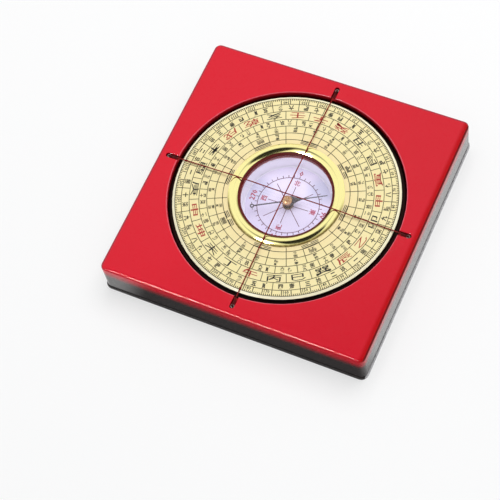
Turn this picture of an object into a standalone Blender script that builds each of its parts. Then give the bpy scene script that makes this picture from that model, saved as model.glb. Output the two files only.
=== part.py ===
"""A small luopan, the Chinese compass: a lacquered board, a dial that turns in it and a needle capsule.

Run it with blender --background --python part.py, or from Blender's text editor.
The board rests on z = 0 with its centre on the Z axis, and +Y is the far side of the board.
"""

import math

import bmesh
import bpy
from mathutils import Vector

MM = 0.001

# Clearances
SEAT_GAP = 0.15 * MM          # between pieces that rest on or in each other
RUNNING_GAP = 0.3 * MM        # round the dial where it turns in the board
THREAD_GAP = 0.15 * MM        # round a thread
PIVOT_GAP = 0.15 * MM         # from the pin's point to the jewel
OVERRUN = 1.0 * MM            # how far a cutter passes the face that it cuts
MERGE_DISTANCE = 0.001 * MM

# Board and the sheet under it
BOARD_SIDE = 100.0 * MM
BOARD_CORNER_RADIUS = 2.2 * MM
BOARD_TOP_ROUND = 0.9 * MM
BOARD_FLOOR = 2.45 * MM
RECESS_MARGIN = 7.5 * MM      # from the board's side to its recess, at the narrowest
RECESS_RIM_ROUND = 0.35 * MM
BASE_THICKNESS = 1.0 * MM
BASE_LIP = 0.4 * MM
BASE_EDGE_ROUND = 0.25 * MM

# Crosshair threads, with their slots, beads and anchors
THREAD_RADIUS = 0.22 * MM
THREAD_BEND = 0.6 * MM
THREAD_SETBACK = 3.7 * MM     # from the recess's wall to a thread's hole
SLOT_DEPTH = 1.6 * MM
SLOT_SIDE_GAP = 0.2 * MM
SLOT_END_GAP = 0.5 * MM
BEAD_RADIUS = 0.7 * MM
BEAD_HEIGHT = 1.0 * MM
BEAD_ROUND = 0.12 * MM
ANCHOR_RADIUS = 1.4 * MM
ANCHOR_LENGTH = 2.6 * MM
ANCHOR_TAPER = 0.25 * MM
ANCHOR_ROOM = 0.5 * MM

# Turning dial
SLIP_RING_THICKNESS = 0.5 * MM
SLIP_RING_WIDTH = 16.0 * MM
SLIP_RING_INSET = 2.2 * MM
DISC_LEDGE = 0.9 * MM
DISC_LEDGE_WIDTH = 9.0 * MM
DISC_EDGE_CHAMFER = 0.4 * MM
BOSS_HEIGHT = 0.6 * MM
BOSS_INSET = 0.4 * MM
FACE_RIM_GAP = 1.7 * MM       # the dark ring seen between the dial's face and the board
FACE_THICKNESS = 1.5 * MM
FACE_BEVEL_WIDTH = 1.0 * MM
FACE_BEVEL_DROP = 0.45 * MM
FACE_EDGE_ROUND = 0.15 * MM
FACE_SINK = 0.14 * MM         # the dial's face lies this far below the board's top

# Capsule: cup, card, glass, rings and bezel
WELL_RADIUS = 16.3 * MM
WELL_DEPTH = 5.45 * MM
WELL_CORNER_ROUND = 0.6 * MM
CUP_WALL = 1.65 * MM
CUP_FLOOR = 0.8 * MM
CARD_THICKNESS = 0.3 * MM
CARD_EDGE_GAP = 0.75 * MM
SEAL_THICKNESS = 0.4 * MM
SEAL_INSET = 0.1 * MM
GLASS_THICKNESS = 1.1 * MM
GLASS_EDGE_CHAMFER = 0.15 * MM
RETAINER_THICKNESS = 0.35 * MM
RETAINER_EDGE = 0.06 * MM
LIP_STEP = 0.95 * MM          # from the well's wall to the bezel's mouth
LIP_THICKNESS = 0.2 * MM
LIP_OVERHANG = 0.085 * MM     # from the retaining ring's edge up to the bezel's mouth
SKIRT_WALL = 0.95 * MM
SKIRT_DEPTH = 4.1 * MM
BEZEL_FLANGE = 1.75 * MM
BEZEL_FOOT_DROP = 0.09 * MM
BEZEL_HEIGHT = 0.91 * MM
BEZEL_FOOT_HEIGHT = 0.1 * MM
BEZEL_SHOULDER = 1.8 * MM     # from the bezel's foot in to its crest
BEZEL_CREST_WIDTH = 0.2 * MM

# Pivot and needle
PIVOT_FLANGE_RADIUS = 2.0 * MM
PIVOT_FLANGE_THICKNESS = 0.55 * MM
PIVOT_STEM_RADIUS = 1.1 * MM
PIVOT_COLLAR_HEIGHT = 0.8 * MM
PIVOT_COLLAR_EDGE = 0.35 * MM
PIN_RADIUS = 0.3 * MM
PIN_POINT = 1.2 * MM
GLASS_HEADROOM = 1.55 * MM    # from the needle's cap up to the glass
CAP_RADIUS = 1.95 * MM
CAP_DOME_HEIGHT = 1.25 * MM
CAP_SKIRT_HEIGHT = 0.3 * MM
CAP_CROWN = 0.45 * MM
CAP_WALL = 0.35 * MM
CAP_STEM_PROUD = 0.5 * MM
JEWEL_RADIUS = 0.5 * MM
JEWEL_HEIGHT = 0.6 * MM
JEWEL_DIMPLE = 0.4 * MM
JEWEL_DIMPLE_RADIUS = 0.32 * MM
NEEDLE_THICKNESS = 0.25 * MM
NEEDLE_TIP_GAP = 1.9 * MM     # from the needle's point to the well's wall
NEEDLE_TAIL_GAP = 3.6 * MM    # from the tail ring's centre to the well's wall
NEEDLE_HALF_WIDTH = 0.2 * MM
NEEDLE_TIP_HALF_WIDTH = 0.1 * MM
NEEDLE_HUB_RADIUS = 1.85 * MM
ARROW_REACH = 6.0 * MM
ARROW_ROOT = 1.4 * MM
ARROW_HALF_WIDTH = 1.85 * MM
TAIL_RING_RADIUS = 0.78 * MM
TAIL_RING_HOLE = 0.38 * MM
TAIL_BAR_REACH = 1.5 * MM
TAIL_BAR_HALF_WIDTH = 0.1 * MM

# Turns at rest, and numbers of facets
NEEDLE_TURN = math.radians(29.34)
ARROW_CURVE = 1.6
BEZEL_CURVE = 1.5
ARROW_BACK_ANGLE = 70         # where the arrow's back meets the hub, in degrees from the point
DIAL_FACETS = 80
CAPSULE_FACETS = 60
HIDDEN_FACETS = 40
SMALL_FACETS = 16
THREAD_FACETS = 12
CORNER_STEPS = 4
DOME_STEPS = 6
BEND_STEPS = 4
ARROW_STEPS = 6
SHARP_ANGLE = math.radians(32)

# Heights, stacked from the floor up
board_bottom = BASE_THICKNESS + SEAT_GAP
recess_floor = board_bottom + BOARD_FLOOR
slip_ring_bottom = recess_floor + SEAT_GAP
disc_bottom = slip_ring_bottom + SLIP_RING_THICKNESS + SEAT_GAP
ledge_top = disc_bottom + DISC_LEDGE
cup_bottom = ledge_top + SEAT_GAP
cup_floor = cup_bottom + CUP_FLOOR
card_bottom = cup_floor + SEAT_GAP
card_top = card_bottom + CARD_THICKNESS
cup_rim = card_top + WELL_DEPTH
seal_bottom = cup_rim + SEAT_GAP
seal_top = seal_bottom + SEAL_THICKNESS
glass_bottom = seal_top + SEAT_GAP
glass_top = glass_bottom + GLASS_THICKNESS
retainer_bottom = glass_top + SEAT_GAP
retainer_shoulder = retainer_bottom + RETAINER_THICKNESS
lip_underside = retainer_shoulder + SEAT_GAP
lip_top = lip_underside + LIP_THICKNESS
bezel_foot = lip_underside - BEZEL_FOOT_DROP
bezel_top = bezel_foot + BEZEL_HEIGHT
skirt_bottom = bezel_foot - SKIRT_DEPTH
face_top = bezel_foot - SEAT_GAP
face_bottom = face_top - FACE_THICKNESS
disc_top = face_bottom - SEAT_GAP
flange_top = disc_top - BOSS_HEIGHT
board_top = face_top + FACE_SINK
slot_floor = board_top - SLOT_DEPTH
bead_bottom = slot_floor + SEAT_GAP
bead_top = bead_bottom + BEAD_HEIGHT
anchor_bottom = board_bottom + ANCHOR_ROOM
anchor_top = anchor_bottom + ANCHOR_LENGTH
anchor_shoulder = anchor_top + SEAT_GAP

# Radii, from the well's wall and from the recess's wall
recess_radius = BOARD_SIDE / 2 - RECESS_MARGIN
cup_outer = WELL_RADIUS + CUP_WALL
cup_bore = cup_outer + SEAT_GAP
skirt_outer = cup_bore + SKIRT_WALL
skirt_bore = skirt_outer + SEAT_GAP
lip_mouth = WELL_RADIUS + LIP_STEP
bezel_outer = skirt_outer + BEZEL_FLANGE
bezel_crest = bezel_outer - BEZEL_SHOULDER
disc_outer = recess_radius - RUNNING_GAP
face_outer = recess_radius - FACE_RIM_GAP
thread_station = recess_radius + THREAD_SETBACK
thread_hole = THREAD_RADIUS + THREAD_GAP
slot_half_width = BEAD_RADIUS + SLOT_SIDE_GAP
slot_reach = thread_station + BEAD_RADIUS + SLOT_END_GAP

# The needle hangs a set distance under the glass, and the pin is as long as that asks
cap_top = glass_bottom - GLASS_HEADROOM
cap_flange = cap_top - CAP_DOME_HEIGHT
cap_bore_top = cap_top - CAP_CROWN
jewel_top = cap_bore_top - SEAT_GAP
jewel_bottom = jewel_top - JEWEL_HEIGHT
pin_tip = jewel_bottom + JEWEL_DIMPLE - PIVOT_GAP
cap_bore = JEWEL_RADIUS + SEAT_GAP
cap_stem = cap_bore + CAP_WALL
needle_top = cap_flange - SEAT_GAP
needle_bottom = needle_top - NEEDLE_THICKNESS
cap_stem_bottom = needle_bottom - CAP_STEM_PROUD
pivot_flange_bottom = card_top + SEAT_GAP
pivot_flange_top = pivot_flange_bottom + PIVOT_FLANGE_THICKNESS
pivot_collar_top = pivot_flange_top + PIVOT_COLLAR_HEIGHT
pivot_stem_bottom = cup_bottom + SEAT_GAP
pivot_bore = PIN_RADIUS + SEAT_GAP
pin_bottom = cup_floor

# Heights of the thread's line: over the bead, and over the bezel's crest
thread_exit = bead_top + THREAD_GAP + THREAD_RADIUS
thread_crest = bezel_top + THREAD_GAP + THREAD_RADIUS
crossing_lift = THREAD_RADIUS + THREAD_GAP / 2


def material(name, color, roughness, metallic=0.0, transmission=0.0):
    """A Principled material of one colour."""
    made = bpy.data.materials.new(name)
    made.use_nodes = True
    shader = made.node_tree.nodes["Principled BSDF"]
    shader.inputs["Base Color"].default_value = (*color, 1.0)
    shader.inputs["Roughness"].default_value = roughness
    shader.inputs["Metallic"].default_value = metallic
    shader.inputs["Transmission Weight"].default_value = transmission
    made.diffuse_color = (*color, 1.0)
    return made


def finish_mesh(name, bm, finish):
    """Turns a bmesh into an object with outward faces, smooth where the form is round."""
    bmesh.ops.remove_doubles(bm, verts=bm.verts[:], dist=MERGE_DISTANCE)
    bmesh.ops.recalc_face_normals(bm, faces=bm.faces[:])
    mesh = bpy.data.meshes.new(name)
    bm.to_mesh(mesh)
    bm.free()
    mesh.shade_smooth()
    mesh.set_sharp_from_angle(angle=SHARP_ANGLE)
    piece = bpy.data.objects.new(name, mesh)
    bpy.context.scene.collection.objects.link(piece)
    if finish is not None:
        mesh.materials.append(finish)
    return piece


def arc(centre, radius, start, end, steps=CORNER_STEPS):
    """Points of a circular arc in the profile plane, with both ends; angles are in degrees."""
    points = []
    for i in range(steps + 1):
        angle = math.radians(start + (end - start) * i / steps)
        points.append((centre[0] + radius * math.cos(angle), centre[1] + radius * math.sin(angle)))
    return points


def turned(name, profile, finish, facets=CAPSULE_FACETS):
    """Spins a profile of (radius, height) points about the Z axis.

    A profile that starts and ends on the axis is solid in the middle; any other is closed into a ring."""
    bm = bmesh.new()
    verts = [bm.verts.new((radius, 0, height)) for radius, height in profile]
    pairs = list(zip(verts, verts[1:]))
    if profile[0][0] > 0:
        pairs.append((verts[-1], verts[0]))
    edges = [bm.edges.new(pair) for pair in pairs]
    bmesh.ops.spin(bm, geom=verts + edges, cent=(0, 0, 0), axis=(0, 0, 1),
                   angle=math.tau, steps=facets, use_merge=True)
    return finish_mesh(name, bm, finish)


def extruded(name, outline, bottom, height, finish):
    """A flat outline of (x, y) points drawn up into a plate."""
    bm = bmesh.new()
    face = bm.faces.new([bm.verts.new((x, y, bottom)) for x, y in outline])
    grown = bmesh.ops.extrude_face_region(bm, geom=[face])["geom"]
    top = [item for item in grown if isinstance(item, bmesh.types.BMVert)]
    bmesh.ops.translate(bm, verts=top, vec=(0, 0, height))
    return finish_mesh(name, bm, finish)


def rounded_square(half_side, radius, steps):
    """The outline of a square with round corners."""
    reach = half_side - radius
    outline = []
    for turn, (x, y) in enumerate(((1, 1), (-1, 1), (-1, -1), (1, -1))):
        outline += arc((x * reach, y * reach), radius, 90 * turn, 90 * turn + 90, steps)
    return outline


def round_rim(piece, height, radius, steps):
    """Rounds the outer edge loop of a plate's flat face at this height."""
    bm = bmesh.new()
    bm.from_mesh(piece.data)
    rim = [e for e in bm.edges if all(abs(v.co.z - height) < MERGE_DISTANCE for v in e.verts)]
    bmesh.ops.bevel(bm, geom=rim, offset=radius, segments=steps, profile=0.5, affect="EDGES")
    bm.to_mesh(piece.data)
    bm.free()
    piece.data.shade_smooth()
    piece.data.set_sharp_from_angle(angle=SHARP_ANGLE)


def cut(piece, cutter):
    """Takes a hidden cutter out of a piece with an exact Boolean."""
    cutter.hide_render = True
    cutter.display_type = "WIRE"
    boolean = piece.modifiers.new(cutter.name, "BOOLEAN")
    boolean.operation = "DIFFERENCE"
    boolean.solver = "EXACT"
    boolean.object = cutter


def make_board(finish):
    """The board: a round recess for the dial, four slots, and a stepped hole at each slot's end."""
    board = extruded("board", rounded_square(BOARD_SIDE / 2, BOARD_CORNER_RADIUS, CORNER_STEPS),
                     board_bottom, board_top - board_bottom, finish)
    round_rim(board, board_top, BOARD_TOP_ROUND, CORNER_STEPS)
    rim_centre = (recess_radius + RECESS_RIM_ROUND, board_top - RECESS_RIM_ROUND)
    recess = turned("recess_cutter", [
        (0, recess_floor),
        (recess_radius, recess_floor),
        *arc(rim_centre, RECESS_RIM_ROUND, 180, 90, 3),
        (recess_radius + RECESS_RIM_ROUND, board_top + OVERRUN),
        (0, board_top + OVERRUN),
    ], None, DIAL_FACETS)
    cut(board, recess)
    for quarter in range(4):
        turn = quarter * math.pi / 2
        end_centre = (slot_reach - slot_half_width, 0)
        slot = extruded(f"slot_cutter_{quarter}", [
            (recess_radius - OVERRUN, -slot_half_width),
            *arc(end_centre, slot_half_width, -90, 90, 2 * CORNER_STEPS),
            (recess_radius - OVERRUN, slot_half_width),
        ], slot_floor, SLOT_DEPTH + OVERRUN, None)
        slot.rotation_euler.z = turn
        cut(board, slot)
        drill = turned(f"drill_cutter_{quarter}", [
            (0, board_bottom - OVERRUN),
            (ANCHOR_RADIUS + SEAT_GAP, board_bottom - OVERRUN),
            (ANCHOR_RADIUS + SEAT_GAP, anchor_shoulder),
            (thread_hole, anchor_shoulder),
            (thread_hole, slot_floor + OVERRUN),
            (0, slot_floor + OVERRUN),
        ], None, THREAD_FACETS)
        drill.location = (thread_station * math.cos(turn), thread_station * math.sin(turn), 0)
        cut(board, drill)
    return board


def make_base_sheet(finish):
    """The thin dark sheet under the board, a little wider than it."""
    sheet = extruded("base_sheet",
                     rounded_square(BOARD_SIDE / 2 + BASE_LIP, BOARD_CORNER_RADIUS + BASE_LIP, CORNER_STEPS),
                     0, BASE_THICKNESS, finish)
    round_rim(sheet, BASE_THICKNESS, BASE_EDGE_ROUND, 1)
    return sheet


def make_thread_fittings(side, turn, bead_finish, anchor_finish):
    """At a slot's end: the bead that the thread bends over, and the anchor that holds it under the board."""
    place = (thread_station * math.cos(turn), thread_station * math.sin(turn), 0)
    bead_edge = BEAD_RADIUS - BEAD_ROUND
    bead = turned(f"thread_bead_{side}", [
        (thread_hole, bead_bottom),
        (BEAD_RADIUS, bead_bottom),
        *arc((bead_edge, bead_top - BEAD_ROUND), BEAD_ROUND, 0, 90, 2),
        (thread_hole + BEAD_ROUND, bead_top),
        (thread_hole, bead_top - BEAD_ROUND),
    ], bead_finish, SMALL_FACETS)
    anchor = turned(f"thread_anchor_{side}", [
        (thread_hole, anchor_bottom),
        (ANCHOR_RADIUS - ANCHOR_TAPER, anchor_bottom),
        (ANCHOR_RADIUS, anchor_bottom + ANCHOR_TAPER),
        (ANCHOR_RADIUS, anchor_top),
        (thread_hole, anchor_top),
    ], anchor_finish, THREAD_FACETS)
    bead.location = place
    anchor.location = place
    return [bead, anchor]


def thread_route(lift):
    """Points (distance along the thread's line, height) from one anchor over the bezel to the other."""
    bend_centre = (thread_station - THREAD_BEND, thread_exit - THREAD_BEND)
    half = [
        (thread_station, anchor_bottom),
        *arc(bend_centre, THREAD_BEND, 0, 90, BEND_STEPS),
        (bezel_crest, thread_crest),
        (bezel_crest - BEZEL_CREST_WIDTH, thread_crest),
    ]
    other_half = [(-along, height) for along, height in reversed(half)]
    return half + [(0, thread_crest + lift)] + other_half


def make_thread(name, direction, lift, finish):
    """One taut thread, held at both ends under the board."""
    curve = bpy.data.curves.new(name, "CURVE")
    curve.dimensions = "3D"
    curve.bevel_depth = THREAD_RADIUS
    curve.bevel_resolution = 2
    curve.use_fill_caps = True
    route = thread_route(lift)
    spline = curve.splines.new("POLY")
    spline.points.add(len(route) - 1)
    for point, (along, height) in zip(spline.points, route):
        point.co = (*(Vector(direction) * along + Vector((0, 0, height))), 1)
    curve.materials.append(finish)
    thread = bpy.data.objects.new(name, curve)
    bpy.context.scene.collection.objects.link(thread)
    return thread


def make_slip_ring(finish):
    """The felt ring that the dial slides on."""
    outer = disc_outer - SLIP_RING_INSET
    top = slip_ring_bottom + SLIP_RING_THICKNESS
    return turned("slip_ring", [
        (outer - SLIP_RING_WIDTH, slip_ring_bottom),
        (outer, slip_ring_bottom),
        (outer, top),
        (outer - SLIP_RING_WIDTH, top),
    ], finish, HIDDEN_FACETS)


def make_dial_disc(finish):
    """The turning disc: a flange that runs in the recess, a boss under the face, and the capsule's pocket."""
    boss = face_outer - BOSS_INSET
    return turned("dial_disc", [
        (cup_outer - DISC_LEDGE_WIDTH, disc_bottom),
        (disc_outer, disc_bottom),
        (disc_outer, flange_top - DISC_EDGE_CHAMFER),
        (disc_outer - DISC_EDGE_CHAMFER, flange_top),
        (boss, flange_top),
        (boss, disc_top),
        (skirt_bore, disc_top),
        (skirt_bore, skirt_bottom - SEAT_GAP),
        (cup_bore, skirt_bottom - SEAT_GAP),
        (cup_bore, ledge_top),
        (cup_outer - DISC_LEDGE_WIDTH, ledge_top),
    ], finish, DIAL_FACETS)


def make_dial_face(finish):
    """The dial's printed plate, bevelled round its outer edge."""
    edge_centre = (face_outer - FACE_EDGE_ROUND, face_top - FACE_BEVEL_DROP - FACE_EDGE_ROUND)
    return turned("dial_face", [
        (skirt_bore, face_bottom),
        (face_outer, face_bottom),
        *arc(edge_centre, FACE_EDGE_ROUND, 0, 60, 2),
        (face_outer - FACE_BEVEL_WIDTH, face_top),
        (skirt_bore, face_top),
    ], finish, DIAL_FACETS)


def make_cup(finish):
    """The needle well: a round cup with a bored floor and a soft inside corner."""
    stem_bore = PIVOT_STEM_RADIUS + SEAT_GAP
    corner = (WELL_RADIUS - WELL_CORNER_ROUND, cup_floor + WELL_CORNER_ROUND)
    return turned("capsule_cup", [
        (stem_bore, cup_bottom),
        (cup_outer, cup_bottom),
        (cup_outer, cup_rim),
        (WELL_RADIUS, cup_rim),
        *arc(corner, WELL_CORNER_ROUND, 0, -90, 3),
        (stem_bore, cup_floor),
    ], finish)


def make_card(finish):
    """The printed compass card on the cup's floor."""
    stem_bore = PIVOT_STEM_RADIUS + SEAT_GAP
    outer = WELL_RADIUS - CARD_EDGE_GAP
    return turned("compass_card", [
        (stem_bore, card_bottom),
        (outer, card_bottom),
        (outer, card_top),
        (stem_bore, card_top),
    ], finish)


def make_pivot_base(finish):
    """The riveted stud that holds the card down and carries the pin."""
    collar = pivot_bore + PIVOT_COLLAR_EDGE
    return turned("pivot_base", [
        (0, pivot_stem_bottom),
        (PIVOT_STEM_RADIUS, pivot_stem_bottom),
        (PIVOT_STEM_RADIUS, pivot_flange_bottom),
        (PIVOT_FLANGE_RADIUS, pivot_flange_bottom),
        (PIVOT_FLANGE_RADIUS, pivot_flange_top - SEAT_GAP),
        (PIVOT_FLANGE_RADIUS - SEAT_GAP, pivot_flange_top),
        (PIVOT_STEM_RADIUS, pivot_flange_top),
        (collar, pivot_collar_top),
        (pivot_bore, pivot_collar_top),
        (pivot_bore, pin_bottom - SEAT_GAP),
        (0, pin_bottom - SEAT_GAP),
    ], finish, SMALL_FACETS)


def make_pin(finish):
    """The pointed steel pin that the needle swings on."""
    return turned("pivot_pin", [
        (0, pin_bottom),
        (PIN_RADIUS, pin_bottom),
        (PIN_RADIUS, pin_tip - PIN_POINT),
        (0, pin_tip),
    ], finish, THREAD_FACETS)


def make_seal(finish):
    """The soft ring between the cup's rim and the glass."""
    return turned("glass_seal", [
        (WELL_RADIUS + SEAL_INSET, seal_bottom),
        (cup_outer - SEAL_INSET, seal_bottom),
        (cup_outer - SEAL_INSET, seal_top),
        (WELL_RADIUS + SEAL_INSET, seal_top),
    ], finish, HIDDEN_FACETS)


def make_glass(finish):
    """The flat round glass over the needle."""
    return turned("glass", [
        (0, glass_bottom),
        (cup_outer - GLASS_EDGE_CHAMFER, glass_bottom),
        (cup_outer, glass_bottom + GLASS_EDGE_CHAMFER),
        (cup_outer, glass_top - GLASS_EDGE_CHAMFER),
        (cup_outer - GLASS_EDGE_CHAMFER, glass_top),
        (0, glass_top),
    ], finish)


def make_retainer(finish):
    """The dark ring that holds the glass, with a sloping inner wall up to the bezel's mouth."""
    neck = lip_mouth - SEAT_GAP
    return turned("retaining_ring", [
        (WELL_RADIUS, retainer_bottom),
        (cup_outer, retainer_bottom),
        (cup_outer, retainer_shoulder),
        (neck, retainer_shoulder),
        (neck, lip_top - LIP_OVERHANG),
        (neck - RETAINER_EDGE, lip_top - LIP_OVERHANG),
        (WELL_RADIUS, retainer_bottom + RETAINER_EDGE),
    ], finish)


def bezel_slope(crest, foot, bottom):
    """Points of a rounded slope from the bezel's crest to its foot or its mouth, steeper as it goes down."""
    points = []
    for i in range(DOME_STEPS + 1):
        along = i / DOME_STEPS
        height = bezel_top + (bottom - bezel_top) * along ** BEZEL_CURVE
        points.append((crest + (foot - crest) * along, height))
    return points


def make_bezel(finish):
    """The brass bezel: a ridge that slopes both ways, a lip over the glass and a skirt round the cup."""
    inner_crest = bezel_crest - BEZEL_CREST_WIDTH
    outer_slope = bezel_slope(bezel_crest, bezel_outer, bezel_foot + BEZEL_FOOT_HEIGHT)
    return turned("bezel", [
        (skirt_outer, bezel_foot),
        (bezel_outer, bezel_foot),
        *reversed(outer_slope),
        *bezel_slope(inner_crest, lip_mouth, lip_top),
        (lip_mouth, lip_underside),
        (cup_bore, lip_underside),
        (cup_bore, skirt_bottom),
        (skirt_outer, skirt_bottom),
    ], finish)


def angle_for(half_width, radius):
    """The angle, in degrees, at which a circle is this far from its centre line."""
    return math.degrees(math.asin(half_width / radius))


def needle_outline():
    """The needle's flat outline: point, concave arrow, hub, narrow tail, and a tail ring with a cross bar."""
    tip = WELL_RADIUS - NEEDLE_TIP_GAP
    tail = NEEDLE_TAIL_GAP - WELL_RADIUS
    side = [(tip, NEEDLE_TIP_HALF_WIDTH)]
    for i in range(ARROW_STEPS + 1):
        along = i / ARROW_STEPS
        width = NEEDLE_HALF_WIDTH + (ARROW_HALF_WIDTH - NEEDLE_HALF_WIDTH) * along ** ARROW_CURVE
        side.append((ARROW_REACH + (ARROW_ROOT - ARROW_REACH) * along, width))
    tail_angle = 180 - angle_for(NEEDLE_HALF_WIDTH, NEEDLE_HUB_RADIUS)
    side += arc((0, 0), NEEDLE_HUB_RADIUS, ARROW_BACK_ANGLE, tail_angle, 2 * CORNER_STEPS)
    ring_angle = angle_for(NEEDLE_HALF_WIDTH, TAIL_RING_RADIUS)
    bar_angle = angle_for(TAIL_BAR_HALF_WIDTH, TAIL_RING_RADIUS)
    side += arc((tail, 0), TAIL_RING_RADIUS, ring_angle, 90 - bar_angle)
    side.append((tail + TAIL_BAR_HALF_WIDTH, TAIL_BAR_REACH))
    side.append((tail - TAIL_BAR_HALF_WIDTH, TAIL_BAR_REACH))
    side += arc((tail, 0), TAIL_RING_RADIUS, 90 + bar_angle, 180)
    return side + [(x, -y) for x, y in reversed(side[:-1])]


def make_needle(finish):
    """The magnetised steel needle, with a hole for its cap and a ring at the tail."""
    needle = extruded("needle", needle_outline(), needle_bottom, NEEDLE_THICKNESS, finish)
    hub_hole = turned("needle_hub_cutter", [
        (0, needle_bottom - OVERRUN),
        (cap_stem + SEAT_GAP, needle_bottom - OVERRUN),
        (cap_stem + SEAT_GAP, needle_top + OVERRUN),
        (0, needle_top + OVERRUN),
    ], None, SMALL_FACETS)
    ring_hole = turned("needle_ring_cutter", [
        (0, needle_bottom - OVERRUN),
        (TAIL_RING_HOLE, needle_bottom - OVERRUN),
        (TAIL_RING_HOLE, needle_top + OVERRUN),
        (0, needle_top + OVERRUN),
    ], None, THREAD_FACETS)
    ring_hole.location.x = NEEDLE_TAIL_GAP - WELL_RADIUS
    ring_hole.parent = needle
    hub_hole.parent = needle
    cut(needle, hub_hole)
    cut(needle, ring_hole)
    return needle


def make_needle_cap(finish):
    """The domed brass cap: a hollow stem through the needle and a blind bore for the jewel."""
    dome_base = cap_flange + CAP_SKIRT_HEIGHT
    dome_height = cap_top - dome_base
    dome = [
        (CAP_RADIUS * math.cos(angle), dome_base + dome_height * math.sin(angle))
        for angle in (math.radians(90 * i / DOME_STEPS) for i in range(DOME_STEPS))
    ]
    return turned("needle_cap", [
        (0, cap_bore_top),
        (cap_bore, cap_bore_top),
        (cap_bore, cap_stem_bottom),
        (cap_stem, cap_stem_bottom),
        (cap_stem, cap_flange),
        (CAP_RADIUS, cap_flange),
        *dome,
        (0, cap_top),
    ], finish, SMALL_FACETS)


def make_jewel(finish):
    """The hard bearing in the cap, dimpled for the pin's point."""
    return turned("cap_jewel", [
        (0, jewel_bottom + JEWEL_DIMPLE),
        (JEWEL_DIMPLE_RADIUS, jewel_bottom),
        (JEWEL_RADIUS, jewel_bottom),
        (JEWEL_RADIUS, jewel_top),
        (0, jewel_top),
    ], finish, SMALL_FACETS)


def on_axis(name, pieces, height, turn):
    """An empty on the turning axis that carries the pieces of one moving body."""
    axis = bpy.data.objects.new(name, None)
    bpy.context.scene.collection.objects.link(axis)
    axis.location.z = height
    axis.rotation_euler.z = turn
    for piece in pieces:
        piece.parent = axis
        piece.location.z -= height
    return axis


def build():
    """The whole compass."""
    for old in list(bpy.data.objects):
        bpy.data.objects.remove(old, do_unlink=True)
    lacquer = material("red_lacquer", (0.70, 0.03, 0.06), 0.25)
    bakelite = material("black_bakelite", (0.02, 0.017, 0.017), 0.35)
    backing = material("dark_backing", (0.03, 0.025, 0.025), 0.8)
    felt = material("grey_felt", (0.12, 0.11, 0.10), 0.95)
    dial_yellow = material("dial_yellow", (0.93, 0.80, 0.42), 0.45)
    lavender = material("pale_plastic", (0.72, 0.66, 0.84), 0.4)
    card_white = material("card_white", (0.74, 0.68, 0.85), 0.6)
    silicone = material("pale_silicone", (0.75, 0.72, 0.80), 0.6)
    glass = material("clear_glass", (0.95, 0.97, 1.0), 0.03, transmission=1.0)
    maroon = material("maroon_plastic", (0.12, 0.015, 0.01), 0.35)
    gilt_brass = material("polished_brass", (0.95, 0.78, 0.36), 0.15, metallic=1.0)
    cap_brass = material("turned_brass", (0.80, 0.55, 0.25), 0.25, metallic=1.0)
    blued_steel = material("blued_steel", (0.10, 0.09, 0.11), 0.35, metallic=0.8)
    bright_steel = material("bright_steel", (0.6, 0.6, 0.62), 0.25, metallic=1.0)
    jewel = material("jewel_glass", (0.6, 0.1, 0.15), 0.1)
    red_thread = material("red_thread", (0.45, 0.05, 0.04), 0.4)
    nylon = material("natural_nylon", (0.80, 0.76, 0.66), 0.5)

    make_board(lacquer)
    make_base_sheet(backing)
    make_slip_ring(felt)
    make_thread("thread_north_south", (0, 1, 0), crossing_lift, red_thread)
    make_thread("thread_east_west", (1, 0, 0), -crossing_lift, red_thread)
    for quarter, side in enumerate(("east", "north", "west", "south")):
        make_thread_fittings(side, quarter * math.pi / 2, cap_brass, nylon)

    on_axis("dial_axis", [
        make_dial_disc(bakelite),
        make_dial_face(dial_yellow),
        make_cup(lavender),
        make_card(card_white),
        make_pivot_base(cap_brass),
        make_pin(bright_steel),
        make_seal(silicone),
        make_glass(glass),
        make_retainer(maroon),
        make_bezel(gilt_brass),
    ], face_top, 0)
    on_axis("needle_axis", [
        make_needle(blued_steel),
        make_needle_cap(cap_brass),
        make_jewel(jewel),
    ], pin_tip, NEEDLE_TURN)


build()
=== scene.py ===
"""Looks of the small luopan: finishes for its solids, the printed scales, and a plain studio."""

import math

import bpy
from mathutils import Matrix, Vector


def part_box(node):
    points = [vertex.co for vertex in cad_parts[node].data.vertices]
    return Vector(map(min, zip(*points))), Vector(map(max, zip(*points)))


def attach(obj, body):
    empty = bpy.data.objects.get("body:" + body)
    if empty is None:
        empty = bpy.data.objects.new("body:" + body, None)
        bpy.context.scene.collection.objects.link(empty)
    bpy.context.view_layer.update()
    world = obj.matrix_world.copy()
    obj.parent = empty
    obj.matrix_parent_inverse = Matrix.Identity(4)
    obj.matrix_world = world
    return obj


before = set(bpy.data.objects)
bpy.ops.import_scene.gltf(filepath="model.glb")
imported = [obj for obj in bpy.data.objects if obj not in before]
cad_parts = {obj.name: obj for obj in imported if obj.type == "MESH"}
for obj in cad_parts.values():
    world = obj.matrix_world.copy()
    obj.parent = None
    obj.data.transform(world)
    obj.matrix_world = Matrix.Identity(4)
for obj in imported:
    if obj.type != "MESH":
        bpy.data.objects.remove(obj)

MM = 0.001
PER_METRE = 1000.0            # millimetres in a metre

# Camera, fitted to the photo on the board's top plane
CAMERA_LENS = 122.28
CAMERA_SENSOR = 36.0
CAMERA_TARGET = (-2.96 * MM, -24.61 * MM)
CAMERA_DISTANCE = 590.5 * MM
CAMERA_AZIMUTH = math.radians(36.65)
CAMERA_ELEVATION = math.radians(62.13)
CAMERA_ROLL = math.radians(-14.0)
CAMERA_NEAR = 10 * MM
CAMERA_FAR = 20.0

# Studio
FLOOR_SIDE = 6.0
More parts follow.
